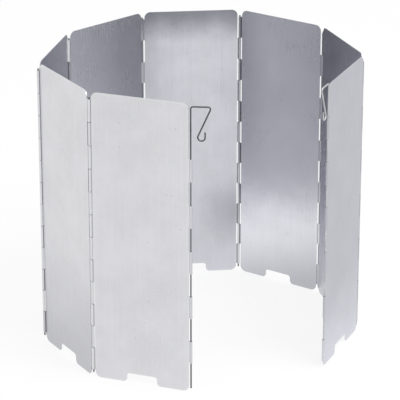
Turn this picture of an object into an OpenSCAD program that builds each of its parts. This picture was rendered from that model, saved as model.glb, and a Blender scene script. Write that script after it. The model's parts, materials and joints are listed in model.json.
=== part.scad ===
// Folding stove windscreen: eight thin plates, hinged edge to edge on
// straight wires, standing in an open ring round a stove. A hook wire hangs
// in each of the two free edges. Millimetres, +Z up, feet on z = 0, origin
// under the middle of the standing ring, gap in the ring towards -Y.

/* [Plates] */
// Distance between the two hinge lines of a plate
plate_pitch = 83.5; // [70:0.5:110]
// Height of a plate
plate_h = 240; // [180:1:280]
// Thickness of the sheet
sheet_t = 0.5; // [0.4:0.05:0.8]
// Radius of the four corners of a plate
corner_r = 5; // [2:0.5:8]

/* [Air notch] */
// Width of the air notch in the bottom edge
notch_w = 25.5; // [15:0.5:40]
// Height of the air notch
notch_h = 7.5; // [5:0.5:15]
// Radius of the two upper corners of the notch
notch_top_r = 2.5; // [1:0.25:4]
// Radius of the two feet beside the notch
notch_foot_r = 3.5; // [1:0.25:4.5]

/* [Hinges] */
// Rolled knuckles along one edge of a plate
knuckles = 6; // [4:1:8]
// Bare plate edge above and below a hinge
hinge_margin = 6; // [4:0.5:10]
// Diameter of the hinge and hook wires
wire_d = 1.2; // [1:0.1:2]
// Clearance between a wire and its knuckle, all round
wire_clear = 0.05; // [0.03:0.01:0.1]
// Gap between the ends of two neighbouring knuckles
knuckle_gap = 0.4; // [0.2:0.05:0.6]
// Slit between a knuckle and the edge of the next plate
slit_w = 0.8; // [0.5:0.1:1.5]
// Slit where the rolled end of a knuckle meets its own plate
seam_w = 0.2; // [0.1:0.05:0.3]
// Gap between neighbouring knuckles in the folded pack
pack_gap = 0.7; // [0.3:0.05:1]
// How far a wire stands out below its lowest knuckle
wire_tail = 2.5; // [1:0.5:3.5]
// How far a hinge wire stands out above its upper knuckle
wire_head = 1.2; // [0.5:0.1:2]

/* [Hooks] */
// Reach of a hook beyond its hinge line
hook_reach = 15; // [12:0.1:18]
// Depth of the left hook's bar below the top of its plate
hook_depth = 2.2; // [2:0.1:6]
// How far the right hook is pulled up above the left one
hook_lift = 3.7; // [0:0.1:6]
// Turn of the left hook out of its plate's plane, towards the stove
hook_turn_angle = 16; // [0:1:90]
// Radius of the two upper bends of a hook
hook_bend_r = 1.8; // [1.5:0.1:2.5]
// Lean of the hook's slanting leg
hook_lean = 24; // [10:0.5:28]
// Straight length of the slanting leg
hook_leg = 22.7; // [18:0.1:28]
// Radius of the bowl at the bottom of a hook
hook_bowl_r = 2.8; // [2.6:0.1:3.6]
// Straight tip after the bowl
hook_tip = 4.1; // [3:0.1:8]
// How much thinner the wire is where it is bent
hook_thin = 0.02; // [0.02:0.01:0.06]

/* [Standing ring] */
// Turn from plate 1 to plate 2, towards the stove
turn_1_angle = 37.5; // [20:0.5:48]
// Turn from plate 2 to plate 3
turn_2_angle = 45.5; // [20:0.5:48]
// Turn from plate 3 to plate 4
turn_3_angle = 31; // [20:0.5:48]
// Turn from plate 4 to plate 5, the back plate
turn_4_angle = 40; // [20:0.5:48]
// Turn from plate 5, the back plate, to plate 6
turn_5_angle = 39.5; // [20:0.5:48]
// Turn from plate 6 to plate 7
turn_6_angle = 36; // [20:0.5:48]
// Turn from plate 7 to plate 8
turn_7_angle = 41.5; // [20:0.5:48]

/* [Hidden] */
$fn = 48;

aluminium = [0.80, 0.81, 0.83];
steel = [0.45, 0.46, 0.48];
// Overrun of a cut past the faces that it opens
cut = 1;
// Overlap of the straight lengths of a bent wire with its bends
bend_lap = 0.05;

// The hinge, seen along its wire: a knuckle is rolled from the sheet, so its
// wall is as thick as the sheet, and its wire lies beside the sheet's middle.
bore_r = wire_d / 2 + wire_clear;
knuckle_r = bore_r + sheet_t;
wire_offset = (2 * knuckle_r + pack_gap) / 4;
edge_gap = knuckle_r + slit_w;
// Half the sheet's width from hinge line to hinge line, and its small lean
// to the straight line between them, as the wires lie on opposite faces
half_w = sqrt(pow(plate_pitch / 2, 2) - pow(wire_offset, 2));
sheet_lean = atan(wire_offset / half_w);

// The hinge, seen from the side: its knuckles take turns down the line
hinge_top = plate_h - hinge_margin;
segments = 2 * knuckles;
segment_h = (plate_h - 2 * hinge_margin) / segments;

// The ring, seen from above: plate k runs from hinge line k - 1 to hinge
// line k, and the back plate is parallel to X.
plates = 8;
back = 5;
turns = [
    turn_1_angle, turn_2_angle, turn_3_angle, turn_4_angle,
    turn_5_angle, turn_6_angle, turn_7_angle,
];
function sum(list, first, last) = first > last ? 0 : list[first] + sum(list, first + 1, last);
function heading(k) = k < back ? sum(turns, k - 1, back - 2) : -sum(turns, back - 1, k - 2);
function along(k) = plate_pitch * [cos(heading(k)), sin(heading(k))];
function ring_line(k) = k == 0 ? [0, 0] : ring_line(k - 1) + along(k);
// Odd plates have their wires outside on the left and inside on the right
function wire_side(k) = k % 2 == 1 ? 1 : -1;
function sheet_angle(k) = heading(k) + wire_side(k) * sheet_lean;

// The farthest points of the two hooks, and the middle of the whole outline
function hook_end(line, angle) = ring_line(line) + hook_reach * [cos(angle), sin(angle)];
left_hook_angle = sheet_angle(1) + 180 + hook_turn_angle;
right_hook_angle = sheet_angle(plates);
line_points = [for (k = [0 : plates]) ring_line(k)];
hook_points = [hook_end(0, left_hook_angle), hook_end(plates, right_hook_angle)];
function low(i) = min(
    min([for (p = line_points) p[i] - knuckle_r]), min([for (p = hook_points) p[i] - wire_d / 2]));
function high(i) = max(
    max([for (p = line_points) p[i] + knuckle_r]), max([for (p = hook_points) p[i] + wire_d / 2]));
middle = [(low(0) + high(0)) / 2, (low(1) + high(1)) / 2];
function hinge_line(k) = ring_line(k) - middle;

// A flat rectangle on its bottom edge, centred sideways, with round corners
module rounded_sheet(w, h, r) {
    translate([-w / 2, r]) square([w, h - 2 * r]);
    translate([-w / 2 + r, 0]) square([w - 2 * r, h]);
    for (x = [-1, 1], y = [r, h - r]) {
        translate([x * (w / 2 - r), y]) circle(r);
    }
}

// The air notch: round upper corners, and a round foot on each side
module air_notch() {
    r = notch_top_r;
    f = notch_foot_r;
    translate([-notch_w / 2, -cut]) square([notch_w, notch_h - r + cut]);
    translate([-notch_w / 2 + r, 0]) square([notch_w - 2 * r, notch_h]);
    for (x = [-1, 1]) {
        translate([x * (notch_w / 2 - r), notch_h - r]) circle(r);
        difference() {
            translate([x * (notch_w + f) / 2, (f - cut) / 2]) square([f, f + cut], center = true);
            translate([x * (notch_w / 2 + f), f]) circle(f);
        }
    }
}

// Bottom of the knuckle in the segment n, counted from the top of the hinge
function knuckle_z(n) = hinge_top - n * segment_h + knuckle_gap / 2;
knuckle_h = segment_h - knuckle_gap;

// The knuckles of one edge, with the tongues of sheet that they are rolled from
module tongues(side, list) {
    for (n = list) {
        translate([side > 0 ? half_w - edge_gap - cut : -half_w, knuckle_z(n)])
            square([edge_gap + cut, knuckle_h]);
    }
}

module knuckle_barrels(list) {
    for (n = list) {
        translate([0, 0, knuckle_z(n)]) cylinder(r = knuckle_r, h = knuckle_h);
    }
}

// What is cut from one edge: the bore, and the seam beside the sheet
module knuckle_cuts(side, face) {
    seam_x = [bore_r / 2, knuckle_r + cut];
    seam_y = wire_offset - sheet_t / 2 - seam_w / 2;
    translate([0, 0, -cut]) cylinder(r = bore_r, h = plate_h + 2 * cut);
    translate([-side * (seam_x[0] + seam_x[1]) / 2, -face * seam_y, plate_h / 2])
        cube([seam_x[1] - seam_x[0], seam_w, plate_h], center = true);
}

// One plate, flat in the XZ plane: its left edge has the odd segments of the
// hinge and its right edge the even ones. face is the side of its left wire.
module flat_plate(face, left, right) {
    difference() {
        union() {
            rotate([90, 0, 0]) linear_extrude(sheet_t, center = true) difference() {
                union() {
                    rounded_sheet(2 * (half_w - edge_gap), plate_h, corner_r);
                    tongues(-1, left);
                    tongues(1, right);
                }
                air_notch();
            }
            translate([-half_w, face * wire_offset]) knuckle_barrels(left);
            translate([half_w, -face * wire_offset]) knuckle_barrels(right);
        }
        translate([-half_w, face * wire_offset]) knuckle_cuts(-1, face);
        translate([half_w, -face * wire_offset]) knuckle_cuts(1, -face);
    }
}

// Plate k in its place in the ring. The first plate has no knuckle in the
// top segment of its free edge, which leaves its hook wire bare there.
module plate(k) {
    left = [for (n = [k == 1 ? 3 : 1 : 2 : segments]) n];
    right = [for (n = [2 : 2 : segments]) n];
    centre = (hinge_line(k - 1) + hinge_line(k)) / 2;
    color(aluminium) translate(centre) rotate(sheet_angle(k)) flat_plate(wire_side(k), left, right);
}

// Straight hinge wire k, between the plates k and k + 1
wire_low = hinge_margin - wire_tail;
module hinge_wire(k) {
    color(steel) translate([each hinge_line(k), wire_low])
        cylinder(d = wire_d, h = hinge_top + wire_head - wire_low);
}

// A wire bend from +Z, to +X where the angle is positive, to -X where not
module wire_bend(angle, r) {
    a = abs(angle);
    rotate(angle < 0 ? 180 : 0) translate([r, 0, 0]) rotate([90, 0, 0]) rotate(180 - a)
        rotate_extrude(angle = a) translate([r, 0]) circle(d = wire_d - hook_thin);
}

// Bent wire: each step is a straight length, then a bend by an angle at a
// radius. The straight lengths lap into the bends, which are a touch thinner.
module bent_wire(steps, i = 0) {
    length = steps[i][0];
    angle = steps[i][1];
    r = steps[i][2];
    last = i + 1 == len(steps);
    start = i == 0 ? 0 : -bend_lap;
    end = last ? length : length + bend_lap;
    translate([0, 0, start]) cylinder(d = wire_d, h = end - start);
    if (!last) {
        translate([0, 0, length]) {
            wire_bend(angle, r);
            translate([sign(angle) * r * (1 - cos(angle)), 0, r * sin(abs(angle))])
                rotate([0, angle, 0]) bent_wire(steps, i + 1);
        }
    }
}

// Hook wire: up the free edge, out along the bar, down the slanting leg and
// round the bowl to a tip that points up
module hook(line, angle, lift) {
    stem = plate_h - hook_depth - wire_low - hook_bend_r;
    steps = [
        [stem, 90, hook_bend_r],
        [hook_reach - 2 * hook_bend_r, 90 + hook_lean, hook_bend_r],
        [hook_leg, -180 - hook_lean, hook_bowl_r],
        [hook_tip],
    ];
    color(steel) translate([each hinge_line(line), wire_low + lift]) rotate(angle) bent_wire(steps);
}
module left_hook() { hook(0, left_hook_angle, 0); }
module right_hook() { hook(plates, right_hook_angle, hook_lift); }

plate(1);  // plate_1
plate(2);  // plate_2
plate(3);  // plate_3
plate(4);  // plate_4
plate(5);  // plate_5
plate(6);  // plate_6
plate(7);  // plate_7
plate(8);  // plate_8
hinge_wire(1);  // hinge_wire_1
hinge_wire(2);  // hinge_wire_2
hinge_wire(3);  // hinge_wire_3
hinge_wire(4);  // hinge_wire_4
hinge_wire(5);  // hinge_wire_5
hinge_wire(6);  // hinge_wire_6
hinge_wire(7);  // hinge_wire_7
left_hook();
right_hook();
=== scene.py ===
"""A folding stove windscreen: eight aluminium plates, seven hinge wires and a hook at each free edge."""

import json
import math

import bpy
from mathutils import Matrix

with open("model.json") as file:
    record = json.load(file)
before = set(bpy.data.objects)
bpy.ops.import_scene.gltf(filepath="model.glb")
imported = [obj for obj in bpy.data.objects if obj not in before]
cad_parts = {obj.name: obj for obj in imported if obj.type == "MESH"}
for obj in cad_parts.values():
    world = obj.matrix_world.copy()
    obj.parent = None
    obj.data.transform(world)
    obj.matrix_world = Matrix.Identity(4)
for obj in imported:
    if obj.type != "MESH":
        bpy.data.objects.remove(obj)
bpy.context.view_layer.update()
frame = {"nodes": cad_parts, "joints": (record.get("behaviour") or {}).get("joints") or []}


# The eight plates: thin mill-finish aluminium sheet, sheared to size, with a stamped air notch at the foot.
# The knuckles are rolled from the same sheet, so each plate is one piece with one finish.
# On a plate X runs along the sheet, Y points out of the ring and Z goes up, from the middle of the sheet.
SHEET_HEIGHT = 0.240
SHEET_HALF_WIDTH = 0.03979
SHEET_CORNER = 0.005
SHEET_LEAN = math.radians(1.029)
NOTCH_HALF_WIDTH = 0.01275
NOTCH_HEIGHT = 0.0075
NOTCH_CORNER = 0.0025
# Painted light and shade: each plate's inside and outside have their own base colour, lighter or darker as
# that face reflects brighter or darker surroundings.
NEUTRAL_SHEET = (0.715, 0.715, 0.74, 1)
PALE_SHEET = (0.85, 0.855, 0.90, 1)
BRIGHT_SHEET = (0.95, 0.955, 0.985, 1)
COOL_SHEET = (0.665, 0.671, 0.72, 1)
LIGHTER_LIT_SHEET = (0.80, 0.805, 0.855, 1)
DARK_SHADED_SHEET = (0.61, 0.616, 0.66, 1)
DARKEST_SHADED_SHEET = (0.478, 0.483, 0.527, 1)
BLUISH_SHEET = (0.685, 0.69, 0.755, 1)
OUTSIDE_COLORS = [NEUTRAL_SHEET] * 7 + [BLUISH_SHEET]
INSIDE_COLORS = [
    NEUTRAL_SHEET, NEUTRAL_SHEET, PALE_SHEET, BRIGHT_SHEET,
    COOL_SHEET, LIGHTER_LIT_SHEET, DARK_SHADED_SHEET, DARKEST_SHADED_SHEET,
]
BLACK = (0, 0, 0, 1)
BLOOM_SHARE = 0.07
BLOOM_START = 0.45
BLOOM_END = 0.95
SHEET_GRAIN_FINENESS = 1300.0
SHEET_GRAIN_IN_TONE = 0.35
RUBBED_BRIGHT = (0.78, 0.785, 0.80, 1)
RUB_SHARE = 0.3
RUB_START = -0.0016
RUB_END = 0.0008
RUB_RAGGEDNESS = 0.0012
SPECK_GREY = (0.35, 0.35, 0.37, 1)
SPECK_SHARE = 0.35
# Painted shade in the creases at the knuckle roots
CREASE_SHADE = (0.20, 0.20, 0.22, 1)
CREASE_SHADE_SHARE = 0.5
CREASE_PLACE = 0.0007
CREASE_CORE = 0.0004
CREASE_REACH = 0.0008
# Grey for painted shade and painted reflections
PAINTED_SHADE_GREY = (0.27, 0.275, 0.31, 1)
OUTSIDE = 1.0
INSIDE = -1.0
# Painted reflection and shade, darker bands on one face of some plates: heights above the foot where a band
# is full and where it has faded out, and its tilt along the sheet
SHADED_BANDS = [
    {"plate": 2, "face": OUTSIDE, "full_height": -0.020, "clear_height": 0.115, "share": 0.40, "tilt": 0.0},
    {"plate": 5, "face": INSIDE, "full_height": 0.240, "clear_height": 0.210, "share": 1.0, "tilt": 0.0},
    {"plate": 6, "face": INSIDE, "full_height": 0.103, "clear_height": 0.052, "share": 0.48, "tilt": -0.1},
    {"plate": 6, "face": INSIDE, "full_height": -0.010, "clear_height": 0.050, "share": 0.50, "tilt": -0.3},
    {"plate": 8, "face": OUTSIDE, "full_height": 0.075, "clear_height": -0.020, "share": 0.53, "tilt": 0.0},
]
BAND_RAGGEDNESS = 0.012
CLOUD_MIDDLE = 0.5
# A painted darker patch, standing in for a reflection on the back plate's inside
DARK_PATCH_PLATE = 5
DARK_PATCH_MIDDLE = (0.040, 0.0, -0.063)
DARK_PATCH_REACH = (0.045, 1.0, 0.042)
DARK_PATCH_SHARE = 0.5
# Share of painted shade on the knuckles of some edges, by plate and side: -1 is towards the line before the
# plate
SHADED_KNUCKLES = {(1, -1.0): 0.22, (7, 1.0): 0.35, (8, -1.0): 0.35}
KNUCKLE_START = 0.0002
KNUCKLE_FULL = 0.0006
SHEET_ROUGHNESS = 0.14
GRAIN_IN_ROUGHNESS = 0.10
CLOUD_IN_ROUGHNESS = 0.12
SHEET_GRAIN_HEIGHT = 0.000004
WAVE_HEIGHT = 0.00030
SPECK_HEIGHT = -0.00002
OWN_PLACE_STEP = (0.31, 0.17, 0.23)


def add_node(tree, kind, inputs=None, **settings):
    node = tree.nodes.new(kind)
    for name, value in settings.items():
        setattr(node, name, value)
    for key, value in (inputs or {}).items():
        if isinstance(value, bpy.types.NodeSocket):
            tree.links.new(value, node.inputs[key])
        else:
            node.inputs[key].default_value = value
    return node


def math_node(tree, operation, first, second=0.0):
    return add_node(tree, "ShaderNodeMath", {0: first, 1: second}, operation=operation).outputs[0]


def vector_node(tree, operation, first, second=(0.0, 0.0, 0.0)):
    node = add_node(tree, "ShaderNodeVectorMath", {0: first, 1: second}, operation=operation)
    return node.outputs["Value" if operation in ("LENGTH", "DOT_PRODUCT") else "Vector"]


def fade(tree, value, low, high, low_result=0.0, high_result=1.0):
    inputs = {"Value": value, "From Min": low, "From Max": high, "To Min": low_result, "To Max": high_result}
    return add_node(tree, "ShaderNodeMapRange", inputs, interpolation_type="SMOOTHSTEP").outputs[0]


def start_group(name, sockets_in, sockets_out):
    group = bpy.data.node_groups.new(name, "ShaderNodeTree")
    for socket, kind in sockets_in:
        group.interface.new_socket(socket, in_out="INPUT", socket_type=kind)
    for socket, kind in sockets_out:
        group.interface.new_socket(socket, in_out="OUTPUT", socket_type=kind)
    return group, group.nodes.new("NodeGroupInput").outputs, group.nodes.new("NodeGroupOutput")


def place_group(tree, group, inputs):
    return add_node(tree, "ShaderNodeGroup", inputs, node_tree=group).outputs


# Fine lines that the mill rolls or the drawing die leave along the length of the metal.
LINES_PER_METRE_ALONG = 9.0


def make_drawn_lines():
    sockets_in = [("Place", "NodeSocketVector"), ("Fineness", "NodeSocketFloat")]
    group, given, result = start_group("drawn_lines", sockets_in, [("Lines", "NodeSocketFloat")])
    fineness = {"X": given["Fineness"], "Y": given["Fineness"], "Z": LINES_PER_METRE_ALONG}
    stretch = add_node(group, "ShaderNodeCombineXYZ", fineness)
    place = vector_node(group, "MULTIPLY", given["Place"], stretch.outputs[0])
    noise_inputs = {"Vector": place, "Scale": 1.0, "Detail": 3.0, "Roughness": 0.6}
    noise = add_node(group, "ShaderNodeTexNoise", noise_inputs)
    group.links.new(noise.outputs["Fac"], result.inputs["Lines"])
    return group


# Cloudy bloom, small specks of dirt and shallow waves, from handling and packing.
CLOUDS_PER_METRE = 34.0
SPECKS_PER_METRE = 260.0
WAVES_PER_METRE = 17.0
SPECK_KEEP_START = 0.90
SPECK_KEEP_END = 0.92
SPECK_CORE = 0.08
SPECK_REACH = 0.2


def make_handling_marks():
    sockets_in = [("Place", "NodeSocketVector")]
    sockets_out = [("Cloud", "NodeSocketFloat"), ("Specks", "NodeSocketFloat"), ("Waves", "NodeSocketFloat")]
    group, given, result = start_group("handling_marks", sockets_in, sockets_out)
    cloud_inputs = {"Vector": given["Place"], "Scale": CLOUDS_PER_METRE, "Detail": 5.0, "Roughness": 0.62}
    cloud = add_node(group, "ShaderNodeTexNoise", cloud_inputs)
    cell_inputs = {"Vector": given["Place"], "Scale": SPECKS_PER_METRE}
    speck_cells = add_node(group, "ShaderNodeTexVoronoi", cell_inputs)
    speck_share = add_node(group, "ShaderNodeSeparateColor", {"Color": speck_cells.outputs["Color"]})
    speck_kept = fade(group, speck_share.outputs["Red"], SPECK_KEEP_START, SPECK_KEEP_END)
    speck_dot = fade(group, speck_cells.outputs["Distance"], SPECK_CORE, SPECK_REACH, 1.0, 0.0)
    specks = math_node(group, "MULTIPLY", speck_kept, speck_dot)
    waves_inputs = {"Vector": given["Place"], "Scale": WAVES_PER_METRE, "Detail": 1.0, "Roughness": 0.4}
    waves = add_node(group, "ShaderNodeTexNoise", waves_inputs)
    group.links.new(cloud.outputs["Fac"], result.inputs["Cloud"])
    group.links.new(specks, result.inputs["Specks"])
    group.links.new(waves.outputs["Fac"], result.inputs["Waves"])
    return group


# Distance to the outline of a round-cornered sheet lying in X and Z, below zero inside it.
def make_round_sheet():
    sockets_in = [
        ("Place", "NodeSocketVector"), ("Half Size", "NodeSocketVector"), ("Corner", "NodeSocketFloat"),
    ]
    group, given, result = start_group("round_sheet", sockets_in, [("Distance", "NodeSocketFloat")])
    corner = add_node(group, "ShaderNodeCombineXYZ", {"X": given["Corner"], "Y": 0.0, "Z": given["Corner"]})
    straight = vector_node(group, "SUBTRACT", given["Half Size"], corner.outputs[0])
    over = vector_node(group, "SUBTRACT", vector_node(group, "ABSOLUTE", given["Place"]), straight)
    outside = vector_node(group, "LENGTH", vector_node(group, "MAXIMUM", over, (0.0, 0.0, 0.0)))
    sides = add_node(group, "ShaderNodeSeparateXYZ", {"Vector": over})
    nearest = math_node(group, "MAXIMUM", sides.outputs["X"], sides.outputs["Z"])
    inside = math_node(group, "MINIMUM", nearest, 0.0)
    distance = math_node(group, "SUBTRACT", math_node(group, "ADD", outside, inside), given["Corner"])
    group.links.new(distance, result.inputs["Distance"])
    return group


drawn_lines = make_drawn_lines()
handling_marks = make_handling_marks()
round_sheet = make_round_sheet()


def start_finish(name):
    finish = bpy.data.materials.new(name)
    finish.use_nodes = True
    shader = finish.node_tree.nodes["Principled BSDF"]
    shader.inputs["Metallic"].default_value = 1.0
    return finish, finish.node_tree, shader


def mix_color(tree, share, first, second):
    node = add_node(tree, "ShaderNodeMix", {"Factor": share, 6: first, 7: second}, data_type="RGBA")
    return node.outputs[2]


# The hinge lines in their order round the ring, from the first plate's free edge to the last one's.
LINE_JOINTS = ["left_hook_turn"] + [f"hinge_{k}" for k in range(1, 8)] + ["right_hook_turn"]
line_places = {joint["name"]: joint["pos_m"] for joint in frame["joints"]}
lines = [line_places[name] for name in LINE_JOINTS]


def make_plate_finish(number):
    start, end = lines[number - 1], lines[number]
    turn = math.atan2(end[1] - start[1], end[0] - start[0])
    turn += SHEET_LEAN if number % 2 else -SHEET_LEAN
    middle = ((start[0] + end[0]) / 2, (start[1] + end[1]) / 2, SHEET_HEIGHT / 2)
    finish, tree, shader = start_finish(f"mill_sheet_{number}")
    place = add_node(tree, "ShaderNodeTexCoord").outputs["Object"]
    moved = vector_node(tree, "SUBTRACT", place, middle)
    inputs = {"Vector": moved, "Rotation": (0.0, 0.0, -turn)}
    on_sheet = add_node(tree, "ShaderNodeMapping", inputs, vector_type="POINT").outputs[0]
    own_place = vector_node(tree, "ADD", on_sheet, tuple(step * number for step in OWN_PLACE_STEP))

    grain = place_group(tree, drawn_lines, {"Place": own_place, "Fineness": SHEET_GRAIN_FINENESS})["Lines"]
    marks = place_group(tree, handling_marks, {"Place": own_place})
    half_size = (SHEET_HALF_WIDTH, 1.0, SHEET_HEIGHT / 2)
    sheet_inputs = {"Place": on_sheet, "Half Size": half_size, "Corner": SHEET_CORNER}
    to_outline = place_group(tree, round_sheet, sheet_inputs)["Distance"]
    over_notch = vector_node(tree, "ADD", on_sheet, (0.0, 0.0, SHEET_HEIGHT / 2))
    notch_size = (NOTCH_HALF_WIDTH, 1.0, NOTCH_HEIGHT)
    notch_inputs = {"Place": over_notch, "Half Size": notch_size, "Corner": NOTCH_CORNER}
    to_notch = place_group(tree, round_sheet, notch_inputs)["Distance"]
    to_edge = math_node(tree, "MAXIMUM", to_outline, math_node(tree, "MULTIPLY", to_notch, -1.0))
    ragged = math_node(tree, "MULTIPLY", grain, RUB_RAGGEDNESS)
    rub = fade(tree, math_node(tree, "ADD", to_edge, ragged), RUB_START, RUB_END)

    tone = math_node(tree, "ADD", math_node(tree, "MULTIPLY", grain, SHEET_GRAIN_IN_TONE), marks["Cloud"])
    across = add_node(tree, "ShaderNodeSeparateXYZ", {"Vector": on_sheet}).outputs
    is_outside = math_node(tree, "GREATER_THAN", across["Y"], 0.0)
    # Painted light and shade: this face takes its own inside or outside colour.
    mill_and_shade_color = mix_color(tree, is_outside, INSIDE_COLORS[number - 1], OUTSIDE_COLORS[number - 1])
    bloom = fade(tree, tone, BLOOM_START, BLOOM_END, 0.0, BLOOM_SHARE)
    color = mix_color(tree, bloom, mill_and_shade_color, BLACK)
    color = mix_color(tree, math_node(tree, "MULTIPLY", rub, RUB_SHARE), color, RUBBED_BRIGHT)
    color = mix_color(tree, math_node(tree, "MULTIPLY", marks["Specks"], SPECK_SHARE), color, SPECK_GREY)

    # Painted shade: the bend at the root of each knuckle is darkened like a crease in shadow, just outside
    # the sheet's straight edge.
    # It isn't painted on the outside of plate 1's free edge and of the even plates' right edges.
    to_side = math_node(tree, "SUBTRACT", math_node(tree, "ABSOLUTE", across["X"]), SHEET_HALF_WIDTH)
    to_crease = math_node(tree, "ABSOLUTE", math_node(tree, "SUBTRACT", to_side, CREASE_PLACE))
    crease_shade = fade(tree, to_crease, CREASE_CORE, CREASE_REACH, 1.0, 0.0)
    if number == 1 or number % 2 == 0:
        smooth_side = -1.0 if number == 1 else 1.0
        towards_smooth = math_node(tree, "MULTIPLY", across["X"], smooth_side)
        is_smooth = math_node(tree, "GREATER_THAN", towards_smooth, 0.0)
        shown = math_node(tree, "SUBTRACT", 1.0, math_node(tree, "MULTIPLY", is_smooth, is_outside))
        crease_shade = math_node(tree, "MULTIPLY", crease_shade, shown)
    color = mix_color(tree, math_node(tree, "MULTIPLY", crease_shade, CREASE_SHADE_SHARE), color, CREASE_SHADE)

    # Painted reflection: a part of one face of some plates is darkened, with a soft and uneven edge, for
    # darker surroundings or a shadow mirrored in it; on plate 6 two bands leave a painted bright sheen
    # between them.
    cloud_swing = math_node(tree, "SUBTRACT", marks["Cloud"], CLOUD_MIDDLE)
    uneven = math_node(tree, "MULTIPLY", cloud_swing, BAND_RAGGEDNESS)
    above_foot = math_node(tree, "ADD", across["Z"], SHEET_HEIGHT / 2)
    ragged_height = math_node(tree, "ADD", above_foot, uneven)
    for band in SHADED_BANDS:
        if band["plate"] == number:
            tilted = math_node(tree, "MULTIPLY", across["X"], band["tilt"])
            band_height = math_node(tree, "ADD", ragged_height, tilted)
            shaded = fade(tree, band_height, band["clear_height"], band["full_height"])
            towards_face = math_node(tree, "MULTIPLY", across["Y"], band["face"])
            on_face = math_node(tree, "GREATER_THAN", towards_face, 0.0)
            shaded_face = math_node(tree, "MULTIPLY", shaded, on_face)
            band_share = math_node(tree, "MULTIPLY", shaded_face, band["share"])
            color = mix_color(tree, band_share, color, PAINTED_SHADE_GREY)

    # Painted reflection: a soft darker patch beside the right edge of the back plate, on its inside.
    if number == DARK_PATCH_PLATE:
        from_dark_patch = vector_node(tree, "SUBTRACT", on_sheet, DARK_PATCH_MIDDLE)
        dark_patch_reaches = vector_node(tree, "LENGTH", vector_node(tree, "DIVIDE", from_dark_patch, DARK_PATCH_REACH))
        dark_patch = fade(tree, dark_patch_reaches, 0.0, 1.0, DARK_PATCH_SHARE, 0.0)
        on_inside = math_node(tree, "SUBTRACT", 1.0, is_outside)
        color = mix_color(tree, math_node(tree, "MULTIPLY", dark_patch, on_inside), color, PAINTED_SHADE_GREY)

    # Painted shade: the knuckles of some edges are darker than the sheet, for the shading on their barrels.
    for (plate_number, side), share in SHADED_KNUCKLES.items():
        if plate_number == number:
            towards_side = math_node(tree, "MULTIPLY", across["X"], side)
            past_edge = math_node(tree, "SUBTRACT", towards_side, SHEET_HALF_WIDTH)
            shaded_knuckle = fade(tree, past_edge, KNUCKLE_START, KNUCKLE_FULL, 0.0, share)
            color = mix_color(tree, shaded_knuckle, color, PAINTED_SHADE_GREY)
    tree.links.new(color, shader.inputs["Base Color"])

    rough = math_node(tree, "ADD", math_node(tree, "MULTIPLY", grain, GRAIN_IN_ROUGHNESS), SHEET_ROUGHNESS)
    rough = math_node(tree, "ADD", rough, math_node(tree, "MULTIPLY", marks["Cloud"], CLOUD_IN_ROUGHNESS))
    tree.links.new(rough, shader.inputs["Roughness"])

    grain_height = math_node(tree, "MULTIPLY", grain, SHEET_GRAIN_HEIGHT)
    wave_height = math_node(tree, "MULTIPLY", marks["Waves"], WAVE_HEIGHT)
    speck_height = math_node(tree, "MULTIPLY", marks["Specks"], SPECK_HEIGHT)
    height = math_node(tree, "ADD", math_node(tree, "ADD", grain_height, wave_height), speck_height)
    bump = add_node(tree, "ShaderNodeBump", {"Height": height, "Distance": 1.0, "Strength": 1.0})
    tree.links.new(bump.outputs["Normal"], shader.inputs["Normal"])
    return finish


for number in range(1, 9):
    plate = frame["nodes"][f"plate_{number}"]
    plate.data.materials.clear()
    plate.data.materials.append(make_plate_finish(number))


# The hinge wires and the two hook wires: straight drawn steel wire, pushed through the knuckles from above.
# The hooks are bent cold from the same wire. It has gone dull grey; the right hook is a lighter copy of it,
# a painted highlight for the bright surroundings it reflects, and between the middle knuckles of its edge
# the left hook's wire is a little paler.
WIRE_GREY = (0.13, 0.132, 0.14, 1)
PALE_WIRE = (0.20, 0.203, 0.212, 1)
PALE_START = 0.055
PALE_FULL = 0.115
PALE_END = 0.183
WIRE_DULL = (0.065, 0.065, 0.07, 1)
# Painted highlight: a lighter copy of the wire's colours for the right hook
LIT_WIRE = (0.60, 0.603, 0.62, 1)
LIT_WIRE_DULL = (0.40, 0.402, 0.415, 1)
WIRE_ROUGHNESS = 0.20
CLOUD_IN_WIRE_ROUGHNESS = 0.2
WIRE_GRAIN_FINENESS = 5000.0
WIRE_GRAIN_IN_TONE = 0.5
WIRE_GRAIN_HEIGHT = 0.000005
WIRE_DULL_START = 0.5
WIRE_DULL_END = 1.0
WIRE_MARK_FINENESS = (4.0, 4.0, 4.0)


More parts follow.
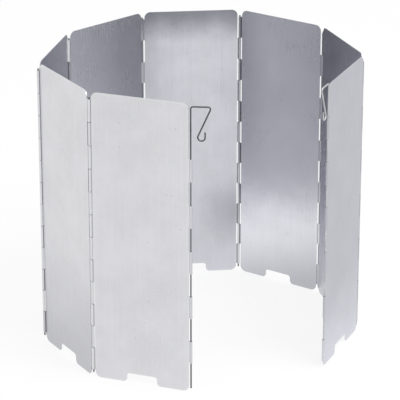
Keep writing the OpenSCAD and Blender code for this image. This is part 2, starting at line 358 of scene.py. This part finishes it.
def make_wire_finish(name, bright, dull, pale_share=0.0):
    finish, tree, shader = start_finish(name)
    place = add_node(tree, "ShaderNodeTexCoord").outputs["Object"]
    grain = place_group(tree, drawn_lines, {"Place": place, "Fineness": WIRE_GRAIN_FINENESS})["Lines"]
    fine_place = vector_node(tree, "MULTIPLY", place, WIRE_MARK_FINENESS)
    marks = place_group(tree, handling_marks, {"Place": fine_place})
    tone = math_node(tree, "ADD", math_node(tree, "MULTIPLY", grain, WIRE_GRAIN_IN_TONE), marks["Cloud"])
    color = mix_color(tree, fade(tree, tone, WIRE_DULL_START, WIRE_DULL_END), bright, dull)
    wire_height = add_node(tree, "ShaderNodeSeparateXYZ", {"Vector": place}).outputs["Z"]
    below_bare = math_node(tree, "LESS_THAN", wire_height, PALE_END)
    pale = fade(tree, wire_height, PALE_START, PALE_FULL, 0.0, pale_share)
    color = mix_color(tree, math_node(tree, "MULTIPLY", pale, below_bare), color, PALE_WIRE)
    tree.links.new(color, shader.inputs["Base Color"])
    cloud_rough = math_node(tree, "MULTIPLY", marks["Cloud"], CLOUD_IN_WIRE_ROUGHNESS)
    rough = math_node(tree, "ADD", cloud_rough, WIRE_ROUGHNESS)
    tree.links.new(rough, shader.inputs["Roughness"])
    height = math_node(tree, "MULTIPLY", grain, WIRE_GRAIN_HEIGHT)
    bump = add_node(tree, "ShaderNodeBump", {"Height": height, "Distance": 1.0, "Strength": 1.0})
    tree.links.new(bump.outputs["Normal"], shader.inputs["Normal"])
    return finish


grey_wire = make_wire_finish("grey_wire", WIRE_GREY, WIRE_DULL)
left_wire = make_wire_finish("left_wire", WIRE_GREY, WIRE_DULL, pale_share=1.0)
lit_wire = make_wire_finish("lit_wire", LIT_WIRE, LIT_WIRE_DULL)
hook_finishes = {"left_hook": left_wire, "right_hook": lit_wire}
for name in [f"hinge_wire_{k}" for k in range(1, 8)] + ["left_hook", "right_hook"]:
    wire = frame["nodes"][name]
    wire.data.materials.clear()
    wire.data.materials.append(hook_finishes.get(name, grey_wire))


# The studio: a white table under an even white sky, with one broad soft lamp above the front right.
# What the camera and the bright metal see of the table is lifted towards white, and its shadow stays.
FLOOR_SIZE = 12.0
FLOOR_DEPTH = 0.0002
FLOOR_WHITE = (0.93, 0.93, 0.93, 1)
PURE_WHITE = (1, 1, 1, 1)
FLOOR_LIFT = 0.86
SKY_STRENGTH = 0.8
LAMP_PLACE = (0.9, -0.8, 1.6)
LAMP_AIM_HEIGHT = 0.1
LAMP_SIZE = 1.6
LAMP_WATTS = 22.0


def seen_directly(tree):
    path = add_node(tree, "ShaderNodeLightPath").outputs
    seen = math_node(tree, "MAXIMUM", path["Is Camera Ray"], path["Is Glossy Ray"])
    return math_node(tree, "MAXIMUM", seen, path["Is Transmission Ray"])


bpy.ops.mesh.primitive_plane_add(size=FLOOR_SIZE, location=(0.0, 0.0, -FLOOR_DEPTH))
table = bpy.context.object
table.name = "white_table"
table_finish = bpy.data.materials.new("white_table")
table_finish.use_nodes = True
tree = table_finish.node_tree
tree.nodes.clear()
lit = add_node(tree, "ShaderNodeBsdfDiffuse", {"Color": FLOOR_WHITE})
white = add_node(tree, "ShaderNodeEmission", {"Color": PURE_WHITE, "Strength": 1.0})
share = math_node(tree, "MULTIPLY", seen_directly(tree), FLOOR_LIFT)
mixed = add_node(tree, "ShaderNodeMixShader", {"Fac": share, 1: lit.outputs[0], 2: white.outputs[0]})
add_node(tree, "ShaderNodeOutputMaterial", {"Surface": mixed.outputs[0]})
table.data.materials.append(table_finish)

sky = bpy.data.worlds.new("white_sky")
sky.use_nodes = True
tree = sky.node_tree
tree.nodes.clear()
strength = fade(tree, seen_directly(tree), 0.0, 1.0, SKY_STRENGTH, 1.0)
background = add_node(tree, "ShaderNodeBackground", {"Color": PURE_WHITE, "Strength": strength})
add_node(tree, "ShaderNodeOutputWorld", {"Surface": background.outputs[0]})
bpy.context.scene.world = sky

lamp_data = bpy.data.lights.new("soft_lamp", "AREA")
lamp_data.shape = "DISK"
lamp_data.size = LAMP_SIZE
lamp_data.energy = LAMP_WATTS
lamp = bpy.data.objects.new("soft_lamp", lamp_data)
bpy.context.scene.collection.objects.link(lamp)
lamp.location = LAMP_PLACE
aim = lamp.location.copy()
aim.z -= LAMP_AIM_HEIGHT
lamp.rotation_euler = aim.to_track_quat("Z", "Y").to_euler()
lamp.visible_camera = False

scene = bpy.context.scene
scene.view_settings.view_transform = "Standard"


# The camera: a long lens in front and a little to the left, looking down at the ring.
# Its place and turn were fitted to the ends of the hinge lines in the photo.
CAMERA_PLACE = (-0.15556, -1.79690, 0.81385)
CAMERA_DOWN = 21.174
CAMERA_RIGHT = 4.944
CAMERA_LENS = 212.185
CAMERA_SENSOR = 36.0

camera_data = bpy.data.cameras.new("camera")
camera_data.lens = CAMERA_LENS
camera_data.sensor_width = CAMERA_SENSOR
camera_data.sensor_fit = "HORIZONTAL"
camera = bpy.data.objects.new("camera", camera_data)
scene.collection.objects.link(camera)
camera.location = CAMERA_PLACE
camera.rotation_euler = (math.radians(90 - CAMERA_DOWN), 0.0, math.radians(-CAMERA_RIGHT))
scene.camera = camera
